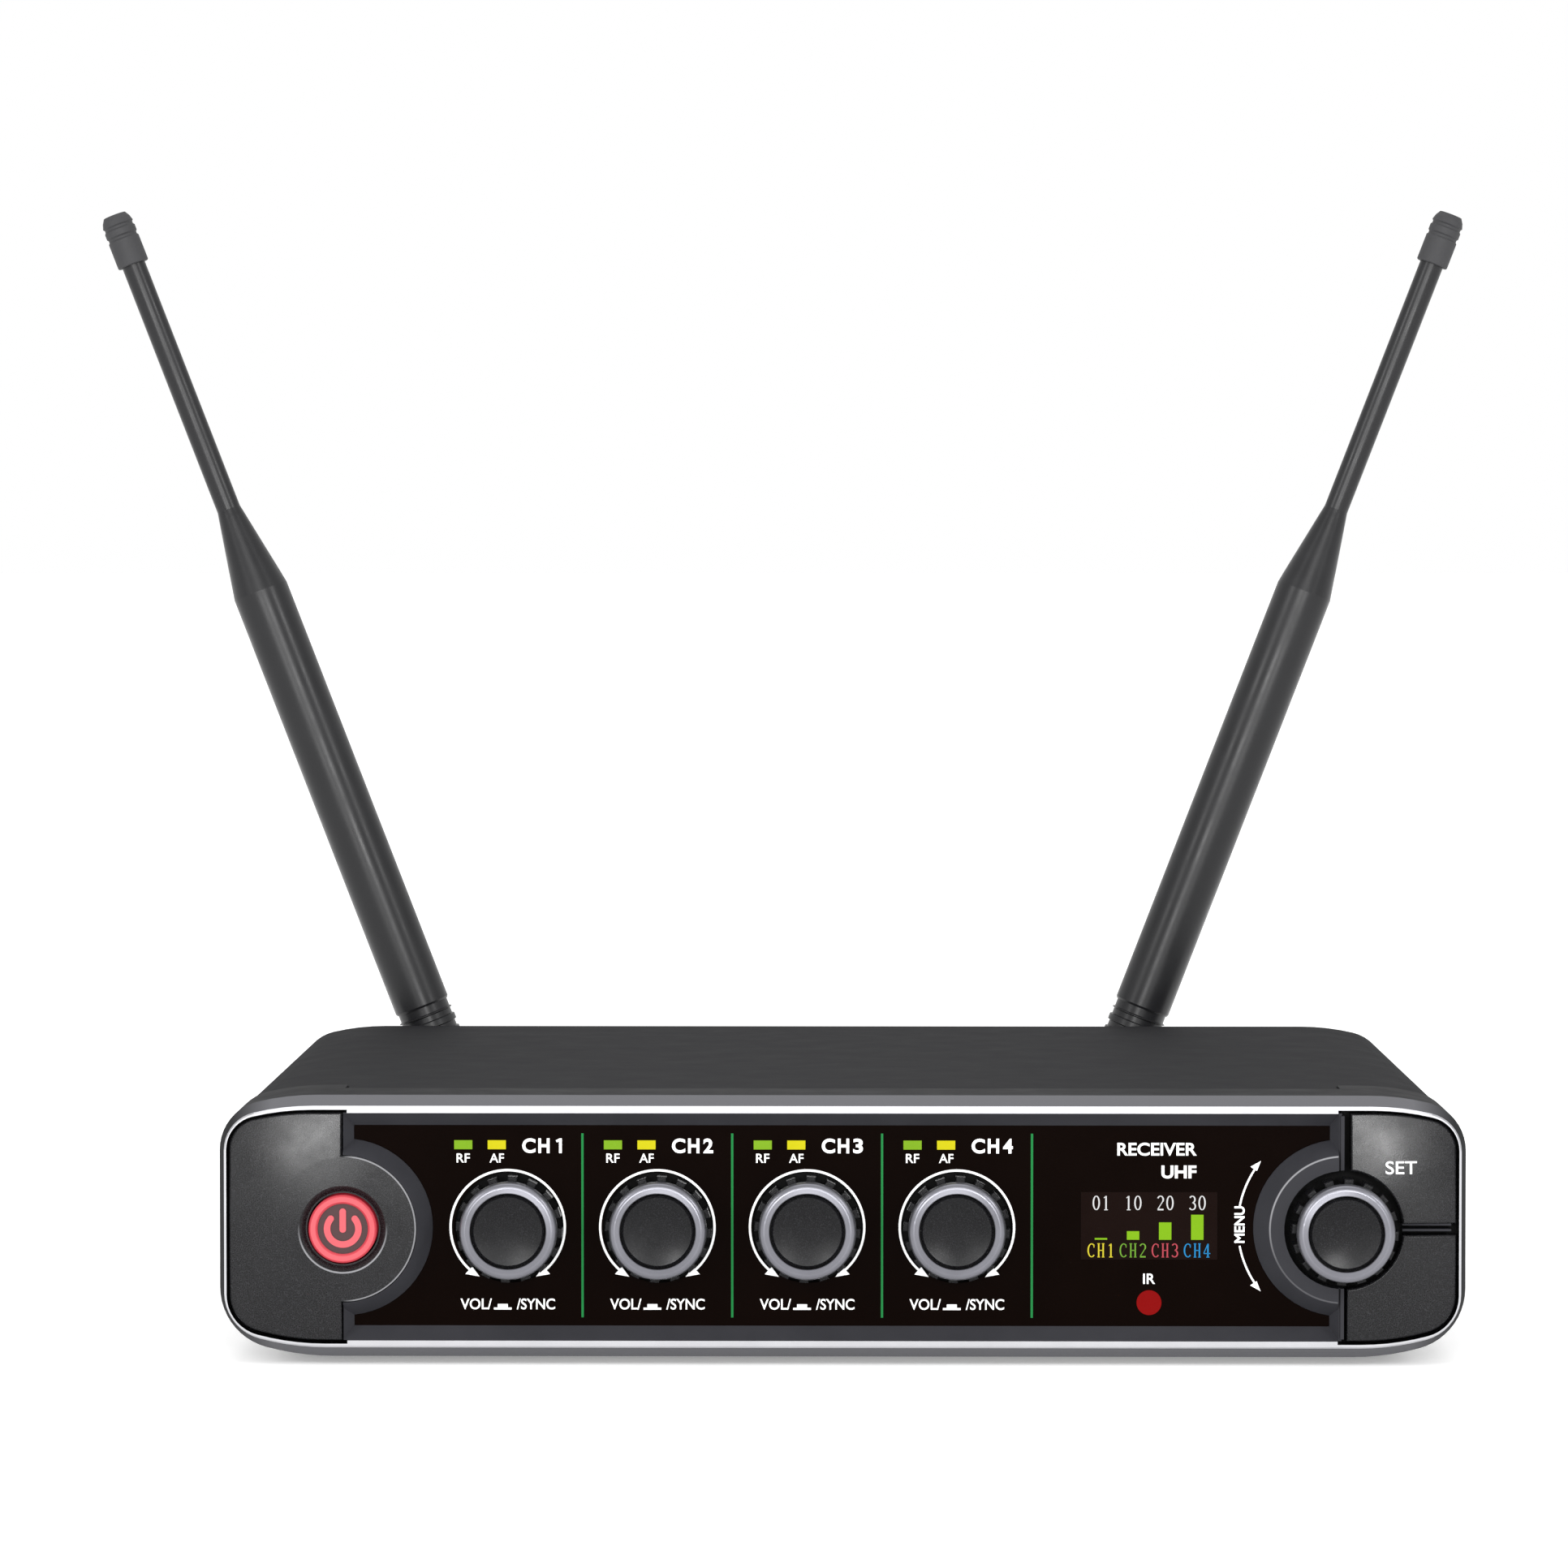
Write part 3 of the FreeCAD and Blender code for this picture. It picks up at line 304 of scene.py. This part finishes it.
FINISHES = {        # one for each material slot of the CAD nodes
    "cover": finish("cover_matte", (0.0205, 0.0205, 0.0218), 0.75, specular=0.03, grain=0.35, depth=0.006),
    "bezel": bezel_finish(),
    "trim": finish("trim_silver", (0.50, 0.50, 0.52), 0.14, metallic=1.0, grain=0.3, depth=0.001, tone=0.03,
                   rub=0.03),
    "moulding": moulding_finish(),
    "fascia": finish("fascia_gloss", (0.0020, 0.0005, 0.0001), 0.2, specular=0.02, grain=4, depth=0.0,
                     rub=0.03),
    "end_cap": end_cap_finish(),
    "red_lens": lens_finish(),
    "power_face": finish("power_face", (0.03, 0.01, 0.011), 0.4, specular=0.3, glow=(0.25, 0.03, 0.04),
                         glow_strength=0.06),
    # pale flecks painted in as sparkle
    "knob": finish("knob_dark", (0.004, 0.004, 0.0045), 0.25, specular=0.13, grain=0.16, depth=0.008,
                   sparkle_fleck=(0.018, 0.018, 0.020)),
    "knob_silver": finish("knob_silver", (0.165, 0.165, 0.185), 0.32, metallic=0.8, grain=0.2, depth=0.002),
    "steel": finish("steel", (0.55, 0.55, 0.56), 0.3, metallic=1.0, grain=0.15, depth=0.002),
    "board": finish("board_green", (0.01, 0.09, 0.04), 0.35, grain=0.6, depth=0.004),
    "component": finish("component_black", (0.02, 0.02, 0.02), 0.45, grain=0.2, depth=0.003),
    "display": finish("screen_glass", (0.005, 0.0018, 0.0012), 0.2, specular=0.03, grain=2, depth=0.0),
    "green_light": finish("light_green", (0.07, 0.14, 0.004), 0.3, specular=0.1, glow=(0.287, 0.552, 0.010),
                          glow_strength=0.45),
    "yellow_light": finish("light_yellow", (0.22, 0.20, 0.0), 0.3, specular=0.1, glow=(0.871, 0.791, 0.0),
                           glow_strength=0.42),
    "ir_red": finish("ir_red", (0.10, 0.001, 0.001), 0.3, specular=0.03, glow=(0.305, 0.004, 0.004),
                     glow_strength=0.35),
    "rear_metal": finish("rear_powder", (0.020, 0.020, 0.021), 0.6, specular=0.2, grain=0.5, depth=0.02),
    "nickel": finish("nickel", (0.46, 0.44, 0.41), 0.30, metallic=1.0, grain=0.3, depth=0.001),
    "black_insert": finish("insert_black", (0.012, 0.012, 0.012), 0.55, specular=0.3, grain=0.25,
                           depth=0.006),
    "contact": finish("contact_gold", (0.83, 0.60, 0.26), 0.25, metallic=1.0, grain=0.2, depth=0.001),
    "rubber": finish("rubber", (0.035, 0.035, 0.037), 0.6, specular=0.25, grain=0.4, depth=0.012),
    "antenna": finish("antenna_satin", (0.009, 0.009, 0.010), 0.33, specular=0.30, grain=0.3, depth=0.004),
    "cable": finish("cable_grey", (0.10, 0.10, 0.10), 0.55, grain=0.4, depth=0.01),
}
WHITE_INK = finish("ink_white", (0.85, 0.85, 0.85), 0.6, grain=0.1, depth=0.001, tone=0.02)
GREEN_INK = finish("ink_green", (0.007, 0.145, 0.034), 0.6, specular=0.1, grain=0.1, depth=0.001, tone=0.02)


def finish_nodes():
    """Gives every CAD node the finish of its material slot."""
    for entry in frame["record"]["subparts"]:
        node = frame["nodes"][entry["node"]]
        material = FINISHES[entry["material_slot"]]
        if not node.material_slots:
            node.data.materials.append(material)
        for slot in node.material_slots:
            slot.material = material


# ---------------------------------------------------------------- the display's letters
THIN, THICK = 0.06, 0.105      # strokes, for a height of one


def bow(x, z, half_width, half_height, start, end, steps=14):
    """Part of an oval, thin where it runs level and thick where it runs upright."""
    line = []
    for n in range(steps + 1):
        turn = math.radians(start + (end - start) * n / steps)
        weight = THIN + (THICK - THIN) * abs(math.cos(turn))
        line.append((x + half_width * math.cos(turn), z + half_height * math.sin(turn), weight))
    return line


def rule(x0, z0, x1, z1, weight):
    """Straight stroke."""
    return [(x0, z0, weight), (x1, z1, weight)]


def foot(x, z, half=0.11):
    """Serif at the end of an upright stroke."""
    return rule(x - half, z, x + half, z, THIN)


SERIF = {       # strokes of each letter, one high and centred on zero
    "0": [bow(0, 0.5, 0.2, 0.47, -90, 90), bow(0, 0.5, 0.2, 0.47, 90, 270)],
    "1": [rule(0.02, 0.02, 0.02, 0.98, THICK), rule(-0.13, 0.84, 0.02, 0.95, THIN), foot(0.02, 0.02, 0.13)],
    "2": [bow(0, 0.74, 0.19, 0.23, 160, -40), rule(0.15, 0.6, -0.2, 0.04, THIN),
          rule(-0.2, 0.04, 0.21, 0.04, THICK)],
    "3": [bow(-0.02, 0.74, 0.18, 0.23, 150, -90), bow(-0.02, 0.27, 0.21, 0.24, 90, -150)],
    "4": [rule(0.07, 0.02, 0.07, 0.98, THICK), rule(0.06, 0.96, -0.23, 0.29, THIN),
          rule(-0.23, 0.28, 0.24, 0.28, THIN), foot(0.07, 0.02)],
    "C": [bow(0.03, 0.5, 0.25, 0.47, 45, 315, 22), rule(0.2, 0.7, 0.2, 0.93, THIN)],
    "H": [rule(x, 0.02, x, 0.98, THICK) for x in (-0.16, 0.16)]
         + [foot(x, z, 0.09) for x in (-0.16, 0.16) for z in (0.02, 0.98)]
         + [rule(-0.16, 0.5, 0.16, 0.5, THIN)],
}

# ---------------------------------------------------------------- printed pieces
FINE, REGULAR, MEDIUM, STRONG, BOLD = 0.008, 0.012, 0.02, 0.025, 0.03      # thickening of the font's strokes
CURVE_STEPS = 6                # facets in each curve of a letter
FIGURE_WIDTH = 0.66            # width of a digit, for a height of one
FLAGGED_ONE = ((0.04, 0), (0.23, 0), (0.23, 1), (0.08, 1), (-0.18, 0.87), (-0.11, 0.72), (0.04, 0.79))
ARROW_OUT = 0.2 * MM           # how far an arrowhead's base stands out from the middle of its ring
PRINT_OUT = 0.04 * MM          # how far the prints stand out of their surface
WELD_DISTANCE = 1e-7           # points closer than this are one


class Sheet:
    """Flat shapes gathered into one thin closed mesh that faces -Y, or +Y when way is 1.

    Shapes are drawn in metres as a viewer in front of them sees them, with x to the viewer's right and z up;
    sunk is how far they reach into the surface.
    """

    def __init__(self, y, sunk=0.03 * MM, way=-1):
        self.front, self.back, self.way = y + way * PRINT_OUT, y - way * sunk, way
        self.mesh = bmesh.new()

    def outline(self, points):
        """Closed prism over a simple outline."""
        front = [self.mesh.verts.new((x, self.front, z)) for x, z in points]
        back = [self.mesh.verts.new((x, self.back, z)) for x, z in points]
        self.mesh.faces.new(front)
        self.mesh.faces.new(back[::-1])
        for n in range(len(points)):
            m = (n + 1) % len(points)
            self.mesh.faces.new((front[m], front[n], back[n], back[m]))

    def bar(self, x0, x1, z0, z1):
        self.outline([(x0, z0), (x1, z0), (x1, z1), (x0, z1)])

    def band(self, x, z, radius, stroke, start, end, steps):
        """Part of a ring, from start to end degrees, counted from +X towards +Z."""
        turns = [math.radians(start + (end - start) * n / steps) for n in range(steps + 1)]

        def edge(y, r):
            return [self.mesh.verts.new((x + r * math.cos(t), y, z + r * math.sin(t))) for t in turns]

        outer_front, outer_back, inner_front, inner_back = [
            edge(y, r) for r in (radius + stroke / 2, radius - stroke / 2) for y in (self.front, self.back)]
        for n in range(steps):
            self.mesh.faces.new((outer_front[n], outer_front[n + 1], inner_front[n + 1], inner_front[n]))
            self.mesh.faces.new((outer_back[n + 1], outer_back[n], inner_back[n], inner_back[n + 1]))
            self.mesh.faces.new((outer_front[n + 1], outer_front[n], outer_back[n], outer_back[n + 1]))
            self.mesh.faces.new((inner_front[n], inner_front[n + 1], inner_back[n + 1], inner_back[n]))
        for n in (0, steps):
            self.mesh.faces.new((outer_front[n], inner_front[n], inner_back[n], outer_back[n]))

    def arrow(self, x, z, radius, angle, way, length, width):
        """Arrowhead at the end of a ring, its tip length further round."""
        base = math.radians(angle)
        tip = base + way * length / radius
        reach = radius + ARROW_OUT

        def at(r, turn):
            return x + r * math.cos(turn), z + r * math.sin(turn)

        self.outline([at(reach - width / 2, base), at(reach + width / 2, base), at(radius, tip)])

    def stroke(self, points, widths):
        """Ribbon along a line, as wide at each point as widths says."""
        sides = ([], [])
        for n, point in enumerate(points):
            ahead, behind = points[min(n + 1, len(points) - 1)], points[max(n - 1, 0)]
            along = (Vector(ahead) - Vector(behind)).normalized()
            across = Vector((-along.y, along.x)) * widths[n] / 2
            sides[0].append(tuple(Vector(point) - across))
            sides[1].append(tuple(Vector(point) + across))
        self.outline(sides[0] + sides[1][::-1])

    def serif(self, text, x, z, height, pitch):
        """Thin book-face letters of the display, pitch apart, centred on x, z."""
        for n, letter in enumerate(text):
            middle = x + (n - (len(text) - 1) / 2) * pitch
            for line in SERIF[letter]:
                points = [(middle + u * height, z + (v - 0.5) * height) for u, v, _ in line]
                self.stroke(points, [w * height for _, _, w in line])

    def words(self, text, x, z, height, width=None, weight=REGULAR, turn=0.0):
        """Text centred on x, z, with capitals of the given height; weight thickens the strokes."""
        curve = bpy.data.curves.new("words", "FONT")
        curve.body = text
        curve.offset = weight
        curve.extrude = 0.1      # any depth does, since every point is put on the sheet's front or back below
        curve.resolution_u = CURVE_STEPS
        holder = bpy.data.objects.new("words", curve)
        bpy.context.scene.collection.objects.link(holder)
        bpy.context.view_layer.update()
        mesh = bpy.data.meshes.new_from_object(holder.evaluated_get(bpy.context.evaluated_depsgraph_get()))
        bpy.data.objects.remove(holder)
        bpy.data.curves.remove(curve)
        low = [min(v.co[n] for v in mesh.vertices) for n in range(2)]
        high = [max(v.co[n] for v in mesh.vertices) for n in range(2)]
        scale_z = height / (high[1] - low[1])
        scale_x = width / (high[0] - low[0]) if width else scale_z
        rotation = Matrix.Rotation(turn, 2)
        start = len(self.mesh.verts)
        self.mesh.from_mesh(mesh)
        self.mesh.verts.ensure_lookup_table()
        for vertex in self.mesh.verts[start:]:
            u = (vertex.co.x - (low[0] + high[0]) / 2) * scale_x
            v = (vertex.co.y - (low[1] + high[1]) / 2) * scale_z
            placed = rotation @ Vector((u, v))
            deep = self.front if vertex.co.z > 0 else self.back
            vertex.co = (x + placed.x, deep, z + placed.y)
        bpy.data.meshes.remove(mesh)

    def figure(self, number, x, z, height, weight=REGULAR):
        """One digit; the one is drawn with its flag, since the font's is a bare bar."""
        if number == 1:
            self.outline([(x + u * height, z + (v - 0.5) * height) for u, v in FLAGGED_ONE])
        else:
            self.words(str(number), x, z, height, FIGURE_WIDTH * height, weight)

    def wrap(self, x, z, radius):
        """Bends the sheet back onto a ball that it touches at x, z."""
        for vertex in self.mesh.verts:
            reach = math.hypot(vertex.co.x - x, vertex.co.z - z)
            vertex.co.y += radius - math.sqrt(radius ** 2 - reach ** 2)

    def piece(self, name, material, body, slot):
        """Turns the sheet into a piece that rides on a body."""
        if self.way > 0:
            for vertex in self.mesh.verts:
                vertex.co.x *= -1
        bmesh.ops.remove_doubles(self.mesh, verts=self.mesh.verts, dist=WELD_DISTANCE)
        bmesh.ops.recalc_face_normals(self.mesh, faces=self.mesh.faces)
        data = bpy.data.meshes.new(name)
        self.mesh.to_mesh(data)
        self.mesh.free()
        data.materials.append(material)
        piece = bpy.data.objects.new(name, data)
        bpy.context.scene.collection.objects.link(piece)
        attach(piece, body)


def channel_print(number):
    """Legends of one channel: lamps, number, volume arc and what the knob does."""
    x = columns[number - 1]
    sheet = Sheet(fascia_y)
    arc_radius, arc_stroke, arc_end = 9.66 * MM, 0.40 * MM, -48
    sheet.band(x, dial.z, arc_radius, arc_stroke, arc_end, 180 - arc_end, steps=96)
    for angle, way in ((arc_end, -1), (180 - arc_end, 1)):
        sheet.arrow(x, dial.z, arc_radius, angle, way, length=2.1 * MM, width=1.7 * MM)
    lamp_z, lamp_height = middle_z + 11.4 * MM, 1.55 * MM
    for text, left, width in (("RF", RF_LEFT, 2.25), ("AF", AF_LEFT, 2.45)):
        sheet.words(text, x - left, lamp_z, lamp_height, width * MM)
    title_z, title_height = middle_z + 13.5 * MM, 2.5 * MM
    for letter, right, width in (("C", 3.6, 2.25), ("H", 6.15, 1.9)):
        sheet.words(letter, x + right * MM, title_z, title_height, width * MM, BOLD)
    sheet.figure(number, x + 8.6 * MM, title_z, title_height, BOLD)
    knob_z, knob_height = middle_z - 13.35 * MM, 1.85 * MM
    for text, right, width in (("VOL/", -5.35, 5.3), ("/SYNC", 4.75, 6.5)):
        sheet.words(text, x + right * MM, knob_z, knob_height, width * MM)
    push_x = x - 0.85 * MM
    for half, bottom, top in ((1.5, -0.95, -0.6), (0.85, -0.58, 0)):      # base and plunger of the push sign
        sheet.bar(push_x - half * MM, push_x + half * MM, knob_z + bottom * MM, knob_z + top * MM)
    sheet.piece(f"print_channel_{number}", WHITE_INK, "case", "print_white")


def divider_print():
    """Green rules to the right of each channel."""
    sheet = Sheet(fascia_y)
    half_pitch, half_width, half_height = (columns[1] - columns[0]) / 2, 0.2 * MM, 15.6 * MM
    for column in columns:
        x = column + half_pitch
        sheet.bar(x - half_width, x + half_width, middle_z - half_height, middle_z + half_height)
    sheet.piece("print_dividers", GREEN_INK, "case", "print_green")


def menu_print():
    """Menu arc, its word, the IR window's and the plain words over the display."""
    sheet = Sheet(fascia_y)
    radius, stroke = 17.6 * MM, 0.32 * MM
    arc_start, arc_end = 11, 33      # degrees above and below the level of the dial's middle
    for way in (-1, 1):
        sheet.band(dial.x, middle_z, radius, stroke, 180 + way * arc_start, 180 + way * arc_end, steps=24)
        sheet.arrow(dial.x, middle_z, radius, 180 + way * arc_end, way, length=1.8 * MM, width=1.3 * MM)
    small, large = 1.75 * MM, 2.2 * MM
    sheet.words("MENU", dial.x - 17.3 * MM, middle_z + 0.25 * MM, small, 6.2 * MM, STRONG, turn=math.pi / 2)
    sheet.words("IR", display_x, middle_z - 8.95 * MM, small)
    sheet.words("RECEIVER", display_x + 1.3 * MM, middle_z + 13.0 * MM, large, 13.4 * MM, MEDIUM)
    sheet.words("UHF", display_x + 5.0 * MM, middle_z + 9.15 * MM, large, 5.9 * MM, BOLD)
    sheet.piece("print_menu", WHITE_INK, "case", "print_white")


def set_print():
    """Word on the SET button, whose front is part of a ball about a point on the dial's axis."""
    crown = set_front - (CROWN_RADIUS - math.sqrt(CROWN_RADIUS ** 2 - DIAL_RECESS ** 2))
    sheet = Sheet(crown, sunk=0.06 * MM)
    sheet.words("SET", dial.x + 9.7 * MM, middle_z + 10.2 * MM, 2.2 * MM, 5.3 * MM, FINE)
    sheet.wrap(dial.x, dial.z, CROWN_RADIUS)
    sheet.piece("print_set", WHITE_INK, "set_button", "print_white")


def rear_print():
    """Plain words over the sockets and under the antennas', read from behind."""
    sheet = Sheet(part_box("rear_panel")[1].y, way=1)
    height, above, below = 2.2 * MM, 3.4 * MM, 4.5 * MM
    shells_low, shells_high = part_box("xlr_shells")
    shell_half = (shells_high.z - shells_low.z) / 2
    outputs = four_places(shells_low.x + shell_half, shells_high.x - shell_half)
    for number, x in enumerate(outputs, 1):
        sheet.words("OUT", -x - 1.6 * MM, shells_high.z + above, height, 5.0 * MM)
        sheet.figure(number, -x + 3.0 * MM, shells_high.z + above, height)
    for node, text, width in (("mix_jack", "MIX OUT", 9.6), ("dc_inlet", "DC IN", 6.6)):
        low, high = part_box(node)
        sheet.words(text, -(low.x + high.x) / 2, middle_z + above, height, width * MM)
    sockets_low, sockets_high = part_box("antenna_sockets")
    socket_half = (sockets_high.z - sockets_low.z) / 2
    for x, text in ((sockets_low.x + socket_half, "ANT B"), (sockets_high.x - socket_half, "ANT A")):
        sheet.words(text, -x, sockets_low.z - below, height, 7.4 * MM)
    sheet.piece("print_rear", WHITE_INK, "case", "print_white")


def display_picture():
    """Four channel columns: number, level bar and label."""
    y, pitch = display_low.y, 5.42 * MM
    xs = [display_x + pitch * (n - 1.5) for n in range(4)]
    number_z, bar_z, label_z = middle_z + 3.9 * MM, middle_z - 2.35 * MM, middle_z - 4.15 * MM
    numbers = Sheet(y)
    for x, text in zip(xs, ("01", "10", "20", "30")):
        numbers.serif(text, x, number_z, height=2.45 * MM, pitch=1.6 * MM)
    numbers.piece("display_numbers", pixel_light("pixels_white", (0.85, 0.85, 0.85)), "case", "display")
    bars, bar_half = Sheet(y), 1.05 * MM
    for x, level in zip(xs, (0.3, 1.45, 2.95, 4.25)):
        bars.bar(x - bar_half, x + bar_half, bar_z, bar_z + level * MM)
    bars.piece("display_bars", pixel_light("pixels_green", (0.28, 0.58, 0.015)), "case", "display")
    yellow, green, red, blue = (0.85, 0.72, 0.05), (0.20, 0.45, 0.05), (0.62, 0.09, 0.12), (0.03, 0.31, 0.68)
    for number, (x, colour) in enumerate(zip(xs, (yellow, green, red, blue)), 1):
        label, light = Sheet(y), pixel_light(f"pixels_label_{number}", colour)
        label.serif(f"CH{number}", x, label_z, height=2.35 * MM, pitch=1.64 * MM)
        label.piece(f"display_label_{number}", light, "case", "display")


# ---------------------------------------------------------------- stage, lights and camera
def stage():
    """Pale floor, large enough to meet the white of the world at the horizon."""
    reach = 30.0
    data = bpy.data.meshes.new("floor")
    data.from_pydata([(-reach, -reach, 0), (reach, -reach, 0), (reach, reach, 0), (-reach, reach, 0)],
                     [], [(0, 1, 2, 3)])
    data.materials.append(finish("floor_pale", (0.86, 0.86, 0.86), 0.9, specular=0.05, tone=0.01, depth=0.0,
                                 glow=(1, 1, 1), glow_strength=0.3))
    floor = bpy.data.objects.new("floor", data)
    bpy.context.scene.collection.objects.link(floor)


def world():
    scene_world = bpy.data.worlds.new("studio")
    scene_world.use_nodes = True
    background = scene_world.node_tree.nodes["Background"]
    background.inputs["Color"].default_value = (1, 1, 1, 1)
    background.inputs["Strength"].default_value = 1.0
    bpy.context.scene.world = scene_world


def softbox(name, place, target, size, power):
    data = bpy.data.lights.new(name, "AREA")
    data.shape = "RECTANGLE"
    data.size, data.size_y = size
    data.energy = power
    light = bpy.data.objects.new(name, data)
    light.location = place
    light.rotation_euler = (Vector(target) - Vector(place)).to_track_quat("-Z", "Y").to_euler()
    bpy.context.scene.collection.objects.link(light)


def lights():
    """Soft fill, strips and overhead, and two low keys that put the highlights on the crowned ends."""
    case_z = 0.03      # height of the case's middle over the floor
    softbox("front_fill", place=(0, -1.45, 0.52), target=(0, 0, case_z), size=(0.66, 0.58), power=6)
    for side in (-1, 1):
        softbox(f"front_key_{side}", place=(side * 0.32, -1.45, 0.235), target=(side * 0.08, 0, case_z),
                size=(0.17, 0.14), power=4.3)
        softbox(f"strip_{side}", place=(side * 1.1, -0.9, 0.75), target=(0, 0, case_z), size=(0.14, 0.5),
                power=5)
    softbox("overhead", place=(0, 0.1, 1.6), target=(0, 0, 0.05), size=(1.2, 0.8), power=4)


def camera():
    """Stands in front of the unit's middle, a little above it, with the picture's middle over the case."""
    distance, rise, aside = 1.040, 0.13685, 0.00078
    tilt_down, turn_left = math.radians(2.1988), math.radians(0.5828)
    data = bpy.data.cameras.new("camera")
    data.sensor_width = 36.0
    data.lens = 142.12
    data.clip_start, data.clip_end = 0.05, 100
    view = bpy.data.objects.new("camera", data)
    view.location = (aside, bezel_low.y - distance, bezel_low.z + rise)
    view.rotation_euler = (math.pi / 2 - tilt_down, 0, turn_left)
    bpy.context.scene.collection.objects.link(view)
    bpy.context.scene.camera = view


finish_nodes()
for channel in range(1, 5):
    channel_print(channel)
divider_print()
menu_print()
set_print()
rear_print()
display_picture()
stage()
world()
lights()
camera()
bpy.context.scene.view_settings.view_transform = "Standard"
